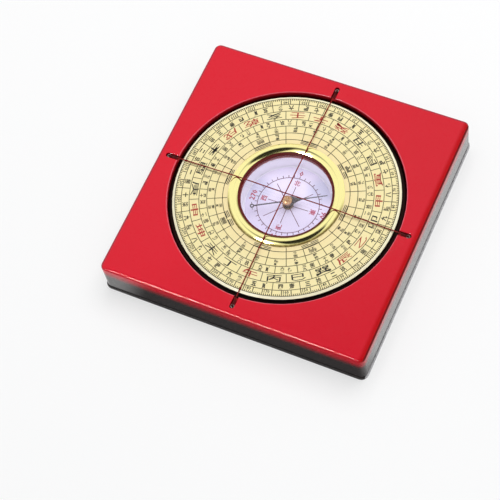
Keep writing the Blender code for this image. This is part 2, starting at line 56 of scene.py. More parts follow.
# Each lamp's place, width and height in metres, its power in watts, and whether it lights
# surfaces or shows in gloss
LAMPS = {
    "panel": ((0.05, 0.33, 0.85), 0.70, 0.70, 5.4, True, False),
    "edge_lamp": ((-0.34, -0.62, 1.07), 0.31, 0.22, 10.4, False, True),
}
WORLD_LEVEL = 0.50
WORLD_TINT = (0.97, 0.985, 1.0)
WHITE = (1.0, 1.0, 1.0)
GLASS_FILL = 0.42             # what the surround adds where it lights a surface through the glass
# Each patch's azimuth, elevation, degrees out to its full dark and to its end, and level
DARK_PATCHES = (
    (math.radians(61), math.radians(78), 17.0, 21.0, 0.03),
    (CAMERA_AZIMUTH + math.radians(20), math.radians(98), 5.0, 24.0, 0.17),
)
FLOOR_SHADE = 0.14            # level of the floor close in front of the board, as gloss shows it
FLOOR_SHADE_REACH = 60.0      # how far in front of the board it lies, in millimetres
FLOOR_SHADE_EDGE = 14.0
FLOOR_SHADE_SHIFT = 6.0       # how far its middle lies towards +X from the board's
FLOOR_SHADE_MARGIN = 4.0      # how far it reaches past the board on either side
FLOOR_GLOW = 0.60             # how much of the floor's white is its own, as the camera sees it
FLOOR_MIRRORED = 0.90         # the same as gloss shows it

# Shading of the imported solids
WELD_DISTANCE = 0.001 * MM
CURVE_ANGLE = math.radians(32)
FACE_CURVE_ANGLE = math.radians(15)

# Noise lies mostly between these
NOISE_LOW = 0.3
NOISE_HIGH = 0.7
NOISE_ROUGHNESS = 0.55
COAT_IOR = 1.5
# Sockets of the Mix node that hold its colours
MIX_FIRST, MIX_SECOND, MIX_RESULT = 6, 7, 2

# The board's paint: where each change starts and ends, in millimetres down from the board's top
SIDE_FADE = (1.2, 6.4)        # red to bare black on the sides
RECESS_FADE = (2.0, 3.6)      # the same in the recess and the slots
WALL_START = (0.3, 0.9)       # top to the duller red of the recess's wall
DEEP_START = (1.1, 2.4)       # that red to a darker one: painted shade deeper in the recess
TOP_EDGE = (1.3, 0.5)         # side to the top's edge
ARRIS_HIGHLIGHT_EDGE = (0.25, 0.10)     # the recess's wall to its arris, where a painted highlight lies
# The same in from the board's sides
SIDE_START = (1.6, 0.9)       # top to side
RIM_REFLECTION_BAND = (2.8, 0.9)         # painted reflection, deep red at +X
DARK_REFLECTION_LINE = (0.75, 0.35)      # painted reflection, nearly black at +X
MAUVE_REFLECTION_LINE = (1.15, 0.75)     # painted reflection, a muted mauve at -X and +Y
# The same out from the disc's edge, where the slots' painted shade starts, and from the recess's,
# for the painted highlight on its arris
SLOT_SHADE_START = (0.8, 1.2)
ARRIS_HIGHLIGHT_BAND = (0.35, 0.15)
PAINT_ROUNDING = 0.5 * MM
RECESS_GAP = 0.4 * MM         # from the turning disc to just past the recess's wall

# Other finishes, in millimetres
INNER_CELLS = (29.0, 21.0)    # radii between which the dial's yellow turns warmer
BEVEL_BAND = (1.12, 0.95)     # in from the dial face's edge
FACE_DEPTH = (0.44, 0.50)     # down from the dial face's top, to where its edge turns black
PALE_REFLECTION_BAND = (0.4, 0.1)     # painted pale reflection, in from the board's side at +X
SATIN_EDGE = (0.05, 0.30)     # up from the floor
BEZEL_FOOT = (0.82, 0.42)     # up from the dial's face, where the painted dark reflection starts and is full
DARK_REFLECTION_SLANT = 0.26          # how far the side with the painted dark reflection turns from -Y towards +X
DARK_REFLECTION_BAND = (-1.0, 8.0)    # out from the dial's axis towards that side
CARD_SHADE_BAND = (7.0, -7.0)    # along Y, where the card turns darker towards -Y: painted shade
CARD_SHADE_PLACES = ((9.0, 9.5), (-13.0, 2.0))
CARD_SHADE_REACH = (2.0, 7.5)  # from each place of painted shade, out to where it is darkest and to its end
THREAD_TWIST = 0.75           # length of one turn of the thread's strands
THREAD_SLANT = 1.1            # how steeply they wind
THREAD_SHADE_BAND = (-0.3, 0.9)     # out from the disc's edge, to where the thread lies in its slot and turns darker: painted shade

# Print on the dial: radii and sizes in millimetres, bearings in degrees clockwise from north
DIAL_TURN = -1.25             # how the dial's print stands turned at rest
CARD_TURN = -2.2              # the same for the card's
INK_LIFT = 0.02 * MM
RING_STEPS = 240
LINE_WIDTH = 0.235
TICK_WIDTH = 0.28
# How far strokes are widened, in em
NUMBER_WEIGHT = 0.02
PLAIN_WEIGHT = 0.045          # of numerals with few strokes
DIRECTION_WEIGHT = 0.008
# Foot and head of the font's digits and of its Chinese signs, in em
DIGIT_FOOT, DIGIT_HEAD = -0.01, 0.70
SIGN_FOOT, SIGN_HEAD = -0.08, 0.84
DEGREE_RING = (37.4, 39.7)
DEGREE_TICK = 38.95
NUMBER_RADIUS = 38.15
NUMBER_WIDTH = 1.5            # of the em
NUMBER_HEIGHT = 1.15          # of the digits themselves
NUMBER_LAG = 2.3              # how far a number lies before its tick, in degrees
RING_B = (34.55, 37.4)
RING_C = (31.05, 34.55)
RING_D = (28.25, 31.05)
RING_E = (25.35, 28.25)
RING_F = (22.6, 25.35)
RING_G = (20.95, 22.6)
CELLS = 24
CELL = 360 / CELLS
TRIGRAM_WIDTH = 6.4
TRIGRAM_BAR = 0.26
TRIGRAM_PITCH = 0.52
TRIGRAM_BREAK = 0.9
# Width and height of a sign's em
DIRECTION_SIGN = (6.0, 2.9)
PAIRED_SIGN = (1.5, 2.0)
SMALL_SIGN = (1.5, 1.15)
ROW_SHIFT = 0.6               # from a ring's middle to either of its two rows of small signs
PAIR_SHIFT = 1.6              # from a bearing to either of a pair of signs, in degrees
# Numerals of each cell: ring, degrees from the cell's middle, millimetres out from the ring's,
# width and height of the em, the first cell's count, the step to the next, and whether plain
CELL_NUMERALS = (
    (RING_B, -3.1, 0.0, (1.9, 2.3), 0, 1, False),
    (RING_B, 3.1, 0.0, (1.8, 2.1), 3, 1, True),
    (RING_D, -2.6, 0.0, (1.6, 2.1), 4, 7, False),
    (RING_D, 2.6, ROW_SHIFT, (1.4, 1.1), 1, 3, True),
    (RING_D, 2.6, -ROW_SHIFT, (1.4, 1.1), 5, 3, True),
    (RING_E, -CELL / 2, ROW_SHIFT, SMALL_SIGN, 0, 1, False),
    (RING_E, -CELL / 2, -ROW_SHIFT, SMALL_SIGN, 4, 1, False),
)

# The twenty-four direction signs clockwise from north, those of them in red, the counting
# numerals from one to ten, and the eight trigrams, with 1 for a whole bar
MOUNTAINS = "子癸丑艮寅甲卯乙辰巽巳丙午丁未坤申庚酉辛戌乾亥壬"
RED_MOUNTAINS = "乾甲坤乙壬寅午戌癸申子辰"
PLAIN_NUMERALS = "一二三四五六七八九十"
FORMAL_NUMERALS = "壹貳參肆伍陸柒捌玖拾"
TRIGRAMS = ("010", "001", "100", "110", "101", "000", "011", "111")
TRIGRAM_STEP = 360 / len(TRIGRAMS)

# Print on the card
CARD_CIRCLE = 11.2
CARD_TICK = 12.25
CARD_NUMBER_RADIUS = 13.4
CARD_NUMBER_HEIGHT = 1.9
CARD_NUMBER_WIDTH = 2.7       # of the em, so that a digit takes half of it
CARD_SIGN_RADIUS = 9.35
CARD_SIGN_SIZE = 2.3
CARD_SIGN_WEIGHT = 0.024
CARD_NUMBER_WEIGHT = 0.025
CARD_SPOKE_START = 0.8
CARD_CARDINAL = 7.7
CARD_DIAGONAL = 9.8
CARD_LINE = 0.25
CARD_RING_STEPS = 120
CARDINALS = "北東南西"


def height_of(node):
    """The height of a node's top, in metres."""
    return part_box(node)[1][2]


def reach_of(node):
    """How far a node reaches from the Z axis along X, in metres."""
    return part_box(node)[1][0]


board_top = height_of("board")
board_half = reach_of("board")
face_top = height_of("dial_face")
face_reach = reach_of("dial_face")
card_top = height_of("compass_card")
disc_reach = reach_of("dial_disc")
recess_reach = disc_reach + RECESS_GAP


class Nodes:
    """Short ways to add nodes to a material's tree or the surround's."""

    def __init__(self, tree):
        self.tree = tree

    def node(self, kind):
        return self.tree.nodes.new(kind)

    def feed(self, source, socket):
        """Links a socket to another socket, or sets it to a value."""
        if isinstance(source, bpy.types.NodeSocket):
            self.tree.links.new(source, socket)
        elif isinstance(source, tuple) and len(source) == 3 and socket.type == "RGBA":
            socket.default_value = (*source, 1.0)
        else:
            socket.default_value = source

    def math(self, operation, *values):
        node = self.node("ShaderNodeMath")
        node.operation = operation
        for value, socket in zip(values, node.inputs):
            self.feed(value, socket)
        return node.outputs[0]

    def times(self, product, *factors):
        """Everything multiplied, from the left."""
        for factor in factors:
            product = self.math("MULTIPLY", product, factor)
        return product

    def remap(self, value, low, high, to_low=0.0, to_high=1.0):
        """Goes smoothly from to_low to to_high while value goes from low to high."""
        node = self.node("ShaderNodeMapRange")
        node.interpolation_type = "SMOOTHSTEP"
        for name, number in (("Value", value), ("From Min", low), ("From Max", high),
                             ("To Min", to_low), ("To Max", to_high)):
            self.feed(number, node.inputs[name])
        return node.outputs["Result"]

    def mix(self, amount, first, second):
        """A colour between first and second."""
        node = self.node("ShaderNodeMix")
        node.data_type = "RGBA"
        self.feed(amount, node.inputs[0])
        self.feed(first, node.inputs[MIX_FIRST])
        self.feed(second, node.inputs[MIX_SECOND])
        return node.outputs[MIX_RESULT]

    def mix_shaders(self, amount, first, second):
        node = self.node("ShaderNodeMixShader")
        for source, socket in zip((amount, first, second), node.inputs):
            self.feed(source, socket)
        return node.outputs[0]

    def straight(self, rays):
        """1 for rays straight from the camera, also through glass."""
        return self.math("MAXIMUM", rays["Is Camera Ray"], rays["Is Transmission Ray"])

    def direct(self, rays):
        """1 for rays that haven't met a matt surface yet."""
        return self.math("LESS_THAN", rays["Diffuse Depth"], 0.5)


class Finish(Nodes):
    """A node material. Its patterns lie in the piece's own coordinates, in millimetres."""

    def __init__(self, name, roughness=0.5, metallic=0.0):
        self.material = bpy.data.materials.new(name)
        self.material.use_nodes = True
        super().__init__(self.material.node_tree)
        self.shader = self.tree.nodes["Principled BSDF"]
        self.shader.inputs["Roughness"].default_value = roughness
        self.shader.inputs["Metallic"].default_value = metallic
        coordinates = self.node("ShaderNodeTexCoord")
        scale = self.node("ShaderNodeVectorMath")
        scale.operation = "SCALE"
        scale.inputs["Scale"].default_value = PER_METRE
        self.feed(coordinates.outputs["Object"], scale.inputs[0])
        self.point = scale.outputs["Vector"]
        split = self.node("ShaderNodeSeparateXYZ")
        self.feed(self.point, split.inputs[0])
        self.x, self.y, self.z = split.outputs
        self.normal = None

    def set(self, name, value):
        """Sets or feeds one of the shader's own sockets."""
        self.feed(value, self.shader.inputs[name])

    def show(self, shader):
        """Puts a shader on the surface in place of the Principled one."""
        self.feed(shader, self.tree.nodes["Material Output"].inputs["Surface"])

    def spread(self, noise, low, high):
        """Noise spread out between two values."""
        return self.remap(noise, NOISE_LOW, NOISE_HIGH, low, high)

    def stain(self, colour, where, amount, tint):
        """A colour with some of a tint laid over it."""
        return self.mix(self.times(where, amount), colour, tint)

    def stretched(self, scale):
        """The point with its coordinates multiplied one by one."""
        node = self.node("ShaderNodeVectorMath")
        node.operation = "MULTIPLY"
        self.feed(self.point, node.inputs[0])
        node.inputs[1].default_value = scale
        return node.outputs["Vector"]

    def noise(self, scale, detail, at=None):
        """Soft noise about 0.5, with scale in features per millimetre."""
        node = self.node("ShaderNodeTexNoise")
        self.feed(at or self.point, node.inputs["Vector"])
        node.inputs["Scale"].default_value = scale
        node.inputs["Detail"].default_value = detail
        node.inputs["Roughness"].default_value = NOISE_ROUGHNESS
        return node.outputs["Fac"]

    def scatter(self, scale, detail, width):
        """Noise about 0, over a width."""
        return self.times(self.math("SUBTRACT", self.noise(scale, detail), 0.5), width)

    def cell_edges(self, scale):
        """Distance to the nearest edge among cells, with scale in cells per millimetre."""
        node = self.node("ShaderNodeTexVoronoi")
        node.feature = "DISTANCE_TO_EDGE"
        self.feed(self.point, node.inputs["Vector"])
        node.inputs["Scale"].default_value = scale
        return node.outputs["Distance"]

    def radius(self):
        """Distance from the Z axis."""
        across = self.times(self.x, self.x)
        return self.math("SQRT", self.math("ADD", across, self.times(self.y, self.y)))

    def near(self, x, y, full, end):
        """1 within a distance of a vertical line, down to 0 at a greater distance."""
        aside = self.math("POWER", self.math("SUBTRACT", self.x, x), 2.0)
        ahead = self.math("POWER", self.math("SUBTRACT", self.y, y), 2.0)
        return self.remap(self.math("SQRT", self.math("ADD", aside, ahead)), end, full)

    def turning(self):
        """Radius, angle and height as one point, for marks that run round the Z axis."""
        node = self.node("ShaderNodeCombineXYZ")
        self.feed(self.radius(), node.inputs[0])
        self.feed(self.times(self.math("ARCTAN2", self.y, self.x), 0.5), node.inputs[1])
        self.feed(self.z, node.inputs[2])
        return node.outputs[0]

    def bump(self, height, depth):
        """Relief of a depth in metres, on top of any before it."""
        node = self.node("ShaderNodeBump")
        node.inputs["Distance"].default_value = depth
        self.feed(height, node.inputs["Height"])
        if self.normal is not None:
            self.feed(self.normal, node.inputs["Normal"])
        self.normal = node.outputs["Normal"]
        self.feed(self.normal, self.shader.inputs["Normal"])

    def coat(self, weight, roughness):
        """A clear coat; its weight may vary over the surface."""
        self.set("Coat Weight", weight)
        self.set("Coat Roughness", roughness)
        self.set("Coat IOR", COAT_IOR)


def edge_line(finish, depth, place, band):
    """Up to 1 along the top's edge, while a place crosses a band from its start to its end."""
    half = board_half * PER_METRE
    start, end = band
    in_band = finish.remap(place, half - start, half - end)
    return finish.times(in_band, finish.remap(depth, *TOP_EDGE))


def open_red(finish, depth, painted_rim_reflection):
    """The paint's red: brighter towards -X as painted light, with painted reflections as darker
    lines along the top's edges, and a painted highlight on the recess's arris.
    """
    half = board_half * PER_METRE
    tone = finish.noise(0.045, 2.0)
    # painted light: the red is brighter towards -X and darker towards +X
    painted_lit_red = finish.mix(tone, (0.70, 0.0015, 0.017), (0.75, 0.0025, 0.022))
    painted_shaded_red = finish.mix(tone, (0.62, 0.0012, 0.014), (0.67, 0.0020, 0.019))
    red = finish.mix(finish.remap(finish.x, -half, half), painted_lit_red, painted_shaded_red)
    # painted reflections: darker lines along the top's edges
    red = finish.stain(red, painted_rim_reflection, 0.75, (0.44, 0.0, 0.0))
    painted_dark_line = edge_line(finish, depth, finish.x, DARK_REFLECTION_LINE)
    red = finish.stain(red, painted_dark_line, 0.8, (0.09, 0.002, 0.003))
    far_side = finish.math("MAXIMUM", finish.times(finish.x, -1.0), finish.y)
    painted_mauve_line = edge_line(finish, depth, far_side, MAUVE_REFLECTION_LINE)
    red = finish.stain(red, painted_mauve_line, 0.55, (0.20, 0.020, 0.045))
    # a pale line on the recess's arris: painted highlight
    start, end = ARRIS_HIGHLIGHT_BAND
    recess = recess_reach * PER_METRE
    arris = finish.remap(finish.radius(), recess + start, recess + end)
    arris = finish.times(arris, finish.remap(depth, *ARRIS_HIGHLIGHT_EDGE))
    return finish.stain(red, arris, 0.26, (0.80, 0.36, 0.46))


def shaded_red(finish, depth):
    """The paint's duller red in the recess and the slots, turning darker deeper down and in the
    slots as painted shade.
    """
    start, end = SLOT_SHADE_START
    disc = disc_reach * PER_METRE
    painted_slot_shade = finish.remap(finish.radius(), disc + start, disc + end)
    # darker deeper down and in the slots: painted shade
    deep = finish.math("MAXIMUM", finish.remap(depth, *DEEP_START), painted_slot_shade)
    return finish.mix(deep, (0.50, 0.012, 0.018), (0.19, 0.008, 0.008))


def lacquer():
    """Glossy red over black: the spray fades out down the sides, in the recess and in the slots."""
    finish = Finish("lacquer", roughness=0.32)
    half = board_half * PER_METRE
    depth = finish.math("SUBTRACT", board_top * PER_METRE, finish.z)
    distances = [finish.math("ABSOLUTE", place) for place in (finish.x, finish.y)]
    side = finish.math("MAXIMUM", *distances)
    start, end = SIDE_START
    outside = finish.remap(side, half - start, half - end)
    ragged = finish.math("ADD", finish.scatter(0.05, 3.0, 1.4), finish.scatter(5.0, 2.0, 2.4))
    bare_side = finish.remap(finish.math("ADD", depth, ragged), *SIDE_FADE)
    bare = finish.mix(outside, finish.remap(depth, *RECESS_FADE), bare_side)
    inside = finish.times(finish.remap(depth, *WALL_START), finish.math("SUBTRACT", 1.0, outside))
    # painted reflection along the top's +X edge
    painted_rim_reflection = edge_line(finish, depth, finish.x, RIM_REFLECTION_BAND)
    red = finish.mix(inside, open_red(finish, depth, painted_rim_reflection), shaded_red(finish, depth))
    black = finish.mix(finish.noise(1.3, 4.0), (0.010, 0.006, 0.006), (0.030, 0.018, 0.018))
    # near black away from the sides, as in the recess and the slots, darker than the sides' black:
    # painted shade
    black = finish.mix(outside, (0.006, 0.001, 0.001), black)
    finish.set("Base Color", finish.mix(bare, red, black))
    finish.set("Roughness", finish.spread(finish.noise(0.6, 3.0), 0.24, 0.40))
    finish.set("Specular IOR Level", 0.03)
    finish.coat(finish.times(
        finish.remap(bare, 0.0, 1.0, 0.66, 1.0),
        finish.spread(finish.noise(0.9, 3.0), 0.88, 1.0),
        finish.remap(painted_rim_reflection, 0.0, 1.0, 1.0, 0.3),
        finish.remap(inside, 0.0, 1.0, 1.0, 0.2),
    ), 0.035)
    finish.bump(finish.noise(0.42, 1.0), 0.006 * MM)
    finish.bump(finish.noise(6.0, 2.0), 0.0008 * MM)
    rounding = finish.node("ShaderNodeBevel")
    rounding.samples = 8
    rounding.inputs["Radius"].default_value = PAINT_ROUNDING
    finish.set("Coat Normal", rounding.outputs["Normal"])
    return finish.material


def bakelite():
    """Satin black with faint turning marks and a little dust."""
    finish = Finish("bakelite")
    marks = finish.noise(6.0, 3.0, at=finish.turning())
    dust = finish.remap(finish.noise(3.0, 5.0), 0.60, 0.78)
    dark = finish.mix(marks, (0.008, 0.002, 0.001), (0.022, 0.007, 0.005))
    finish.set("Base Color", finish.stain(dark, dust, 0.10, (0.16, 0.13, 0.12)))
    finish.set("Roughness", finish.spread(marks, 0.34, 0.52))
    finish.set("Specular IOR Level", 0.08)
    finish.bump(marks, 0.004 * MM)
    return finish.material


def backing():
    """Dark pebbled sheet: matt below, with a satin edge, and a painted pale reflection on its +X
    side.
    """
    finish = Finish("backing")
    half = board_half * PER_METRE
    start, end = PALE_REFLECTION_BAND
    pebbles = finish.cell_edges(1.7)
    worn = finish.noise(0.12, 4.0)
    dark = finish.mix(worn, (0.014, 0.010, 0.010), (0.034, 0.026, 0.025))
    # a pale patchy band along the +X side: painted reflection
    painted_pale_reflection = finish.remap(finish.x, half - start, half - end)
    painted_pale_reflection = finish.times(painted_pale_reflection, finish.remap(finish.noise(1.2, 4.0), 0.2, 0.7, 0.7, 1.0))
    finish.set("Base Color", finish.mix(painted_pale_reflection, dark, (0.62, 0.61, 0.62)))
    finish.set("Roughness", finish.spread(worn, 0.62, 0.82))
    finish.set("Specular IOR Level", 0.25)
    finish.coat(finish.remap(finish.z, *SATIN_EDGE, 0.0, 0.5), 0.20)
    finish.bump(finish.remap(pebbles, 0.0, 0.22), 0.05 * MM)
    finish.bump(finish.noise(9.0, 2.0), 0.01 * MM)
    return finish.material


def felt():
    """Grey felt: short fibres lying every way."""
    finish = Finish("felt", roughness=0.95)
    one_way = finish.noise(3.0, 3.0, at=finish.stretched((6.0, 0.8, 1.0)))
    other_way = finish.noise(3.0, 3.0, at=finish.stretched((0.8, 6.0, 1.0)))
    fibres = finish.math("MAXIMUM", one_way, other_way)
    finish.set("Base Color", finish.mix(fibres, (0.05, 0.045, 0.04), (0.20, 0.18, 0.17)))
    finish.set("Sheen Weight", 0.4)
    finish.bump(fibres, 0.06 * MM)
    return finish.material


def dial_paper():
    """Pale yellow plate: warmer inwards, with a cream bevel and a black edge below it."""
    finish = Finish("dial_paper", roughness=0.38)
    radius = finish.radius()
    patches = finish.noise(0.22, 2.0)
    grain = finish.noise(2.4, 4.0)
    yellow = finish.mix(patches, (0.94, 0.82, 0.40), (0.92, 0.80, 0.46))
    peach = finish.mix(patches, (0.94, 0.79, 0.41), (0.94, 0.76, 0.42))
    printed = finish.mix(finish.remap(radius, *INNER_CELLS), yellow, peach)
    start, end = BEVEL_BAND
    reach = face_reach * PER_METRE
    bevel = finish.remap(radius, reach - start, reach - end)
    printed = finish.mix(bevel, printed, (1.0, 0.96, 0.68))
    speckled = finish.mix(finish.remap(grain, 0.35, 0.75, 0.0, 0.10), printed, (0.62, 0.47, 0.20))
    below = finish.remap(finish.math("SUBTRACT", face_top * PER_METRE, finish.z), *FACE_DEPTH)
    finish.set("Base Color", finish.mix(below, speckled, (0.006, 0.004, 0.004)))
    finish.set("Roughness", finish.spread(finish.noise(0.5, 3.0), 0.30, 0.46))
    finish.set("Specular IOR Level", 0.35)
    finish.bump(grain, 0.004 * MM)
    return finish.material


def moulded(name, low, high, roughness):
    """Moulded plastic: even colour with a faint flow pattern and a fine texture."""
    finish = Finish(name)
    flow = finish.noise(0.18, 3.0)
    texture = finish.noise(5.0, 2.0)
    finish.set("Base Color", finish.mix(flow, low, high))
    finish.set("Roughness", finish.spread(texture, roughness - 0.06, roughness + 0.06))
    finish.bump(texture, 0.003 * MM)
    return finish.material


def card():
    """Lavender white card with a faint mottle, with painted shade towards -Y and in two places."""
    finish = Finish("card", roughness=0.55)
    mottle = finish.noise(0.35, 4.0)
    fibres = finish.noise(3.5, 4.0, at=finish.stretched((1.0, 2.2, 1.0)))
    pale = finish.mix(mottle, (0.75, 0.70, 0.89), (0.79, 0.71, 0.87))
    # painted shade: the card turns darker towards -Y, and in two places
    pale = finish.mix(finish.remap(finish.y, *CARD_SHADE_BAND), pale, (0.63, 0.575, 0.74))
    places = [finish.near(x, y, *CARD_SHADE_REACH) for x, y in CARD_SHADE_PLACES]
    painted_card_shade = finish.math("MAXIMUM", *places)
    pale = finish.mix(painted_card_shade, pale, (0.56, 0.555, 0.72))
    thin = finish.remap(fibres, 0.3, 0.8, 0.0, 0.2)
    finish.set("Base Color", finish.mix(thin, pale, (0.62, 0.56, 0.75)))
    finish.set("Specular IOR Level", 0.3)
    finish.bump(fibres, 0.004 * MM)
    return finish.material


def clear_glass():
    """Flat glass with the faintest ripple, which lets the lamps' light through to the card."""
    finish = Finish("clear_glass", roughness=0.02)
    finish.set("Transmission Weight", 1.0)
    finish.set("IOR", 1.0)
    finish.coat(1.0, 0.02)
    tint = finish.mix(finish.noise(0.1, 2.0), (0.985, 0.985, 1.0), (1.0, 0.99, 1.0))
    finish.set("Base Color", tint)
    smears = finish.noise(0.25, 4.0)
    finish.set("Roughness", finish.remap(smears, 0.35, 0.8, 0.0, 0.05))
    finish.bump(finish.noise(0.08, 1.0), 0.002 * MM)
    let_through = finish.node("ShaderNodeBsdfTransparent")
    rays = finish.node("ShaderNodeLightPath").outputs
    finish.show(finish.mix_shaders(
        rays["Is Shadow Ray"], finish.shader.outputs[0], let_through.outputs[0]))
    return finish.material


def maroon():
    """Satin maroon plastic with turning marks."""
    finish = Finish("maroon")
    marks = finish.noise(7.0, 3.0, at=finish.turning())
    finish.set("Base Color", finish.mix(marks, (0.085, 0.004, 0.003), (0.15, 0.009, 0.006)))
    finish.set("Roughness", finish.spread(marks, 0.24, 0.36))
    finish.set("Specular IOR Level", 0.2)
    finish.bump(marks, 0.003 * MM)
    return finish.material


def polished_brass():
    """Bright pale brass off a lathe: hairlines run round, a warm stain, and a painted dark
    reflection at the foot on the -Y side.
    """
    finish = Finish("polished_brass", metallic=1.0)
    hairlines = finish.noise(22.0, 3.0, at=finish.turning())
    stain = finish.noise(0.16, 4.0)
    brass = finish.mix(stain, (1.0, 0.94, 0.41), (0.98, 0.87, 0.36))
    start, end = BEZEL_FOOT
    foot = finish.remap(finish.z, face_top * PER_METRE + start, face_top * PER_METRE + end)
    towards_front = finish.math("SUBTRACT", finish.times(finish.x, DARK_REFLECTION_SLANT), finish.y)
    patchy = finish.remap(finish.noise(0.8, 3.0), 0.2, 0.6, 0.7, 1.0)
    # the dark band round the foot on the -Y side is a painted dark reflection
    tarnish = finish.times(foot, patchy, finish.remap(towards_front, *DARK_REFLECTION_BAND))
    finish.set("Base Color", finish.mix(tarnish, brass, (0.20, 0.14, 0.035)))
    finish.set("Roughness", finish.spread(stain, 0.07, 0.13))
    finish.bump(hairlines, 0.0012 * MM)
    return finish.material


def turned_brass(name, low, high):
    """Warmer brass, copper brown in places, with plain lathe marks."""
    finish = Finish(name, metallic=1.0)
    marks = finish.noise(9.0, 2.0, at=finish.turning())
    stain = finish.noise(0.9, 4.0)
    finish.set("Base Color", finish.mix(stain, low, high))
    finish.set("Roughness", finish.spread(marks, 0.16, 0.28))
    finish.bump(marks, 0.002 * MM)
    return finish.material


def steel(name, low, high, roughness):
    """Steel with a fine grain and a little tarnish."""
    finish = Finish(name, metallic=1.0)
    grain = finish.noise(11.0, 3.0, at=finish.stretched((1.0, 0.25, 1.0)))
    tarnish = finish.noise(0.6, 4.0)
    finish.set("Base Color", finish.mix(tarnish, low, high))
    finish.set("Roughness", finish.spread(grain, roughness - 0.07, roughness + 0.08))
    finish.bump(grain, 0.0015 * MM)
    return finish.material


def jewel():
    """Dark red polished stone with cloudy depth."""
    finish = Finish("jewel", roughness=0.05)
    cloud = finish.noise(3.0, 4.0)
    finish.set("Base Color", finish.mix(cloud, (0.28, 0.01, 0.03), (0.52, 0.05, 0.09)))
    finish.set("Roughness", finish.spread(cloud, 0.04, 0.10))
    finish.coat(0.6, 0.03)
    return finish.material


def thread(name, along, across):
    """Waxed red thread: strands that wind round it with painted shade between them, loose lighter
    fibres, and painted shade where it lies in its slot.
    """
    finish = Finish(name)
    run = getattr(finish, along)
    over = finish.times(finish.math("ADD", getattr(finish, across), finish.z), THREAD_SLANT)
    wind = finish.times(finish.math("ADD", run, over), 2 * math.pi / THREAD_TWIST)
    strand = finish.math("MULTIPLY_ADD", finish.math("SINE", wind), 0.5, 0.5)
    fibres = finish.noise(9.0, 3.0)
    red = finish.mix(fibres, (0.20, 0.006, 0.004), (0.36, 0.014, 0.009))
    # dark between the strands: painted shade in the grooves
    red = finish.mix(finish.remap(strand, 0.0, 0.45), (0.05, 0.002, 0.002), red)
    start, end = THREAD_SHADE_BAND
    disc = disc_reach * PER_METRE
    # darker where it lies in its slot: painted shade
    painted_thread_shade = finish.remap(finish.radius(), disc + start, disc + end)
    finish.set("Base Color", finish.mix(painted_thread_shade, red, (0.085, 0.003, 0.003)))
    finish.set("Roughness", finish.spread(fibres, 0.50, 0.75))
    finish.set("Specular IOR Level", 0.2)
    finish.bump(strand, 0.05 * MM)
    finish.bump(fibres, 0.01 * MM)
    return finish.material


def ink(name, low, high):
    """Printing ink with an uneven laydown."""
    finish = Finish(name)
    laydown = finish.noise(1.1, 4.0)
    finish.set("Base Color", finish.mix(laydown, low, high))
    finish.set("Roughness", finish.spread(laydown, 0.35, 0.55))
    finish.set("Specular IOR Level", 0.3)
    finish.bump(finish.noise(5.0, 2.0), 0.002 * MM)
    return finish.material


def shading_group(name, curve_angle):
    """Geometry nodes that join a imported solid's triangles and shade its curved faces smooth."""
    group = bpy.data.node_groups.new(name, "GeometryNodeTree")
    group.interface.new_socket("Geometry", in_out="INPUT", socket_type="NodeSocketGeometry")
    group.interface.new_socket("Geometry", in_out="OUTPUT", socket_type="NodeSocketGeometry")
    start = group.nodes.new("NodeGroupInput")
    end = group.nodes.new("NodeGroupOutput")
    clear = group.nodes.new("GeometryNodeRemoveAttribute")
    clear.inputs["Name"].default_value = "custom_normal"
    weld = group.nodes.new("GeometryNodeMergeByDistance")
    weld.inputs["Distance"].default_value = WELD_DISTANCE
    faces = group.nodes.new("GeometryNodeSetShadeSmooth")
    faces.domain = "FACE"
    edges = group.nodes.new("GeometryNodeSetShadeSmooth")
    edges.domain = "EDGE"
    edges.inputs["Shade Smooth"].default_value = False
    angle = group.nodes.new("GeometryNodeInputMeshEdgeAngle")
    sharp = group.nodes.new("FunctionNodeCompare")
    sharp.operation = "GREATER_THAN"
    sharp.inputs["B"].default_value = curve_angle
    link = group.links.new
    link(start.outputs["Geometry"], clear.inputs["Geometry"])
    link(clear.outputs["Geometry"], weld.inputs["Geometry"])
    link(weld.outputs["Geometry"], faces.inputs["Geometry"])
    link(faces.outputs["Geometry"], edges.inputs["Geometry"])
    link(angle.outputs["Unsigned Angle"], sharp.inputs["A"])
    link(sharp.outputs["Result"], edges.inputs["Selection"])
    link(edges.outputs["Geometry"], end.inputs["Geometry"])
    return group


def shade_curves(node, group):
    """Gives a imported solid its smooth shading, with flat faces kept flat."""
    shading = node.modifiers.new("shading", "NODES")
    shading.node_group = group
    weighted = node.modifiers.new("flat_faces", "WEIGHTED_NORMAL")
    weighted.keep_sharp = True


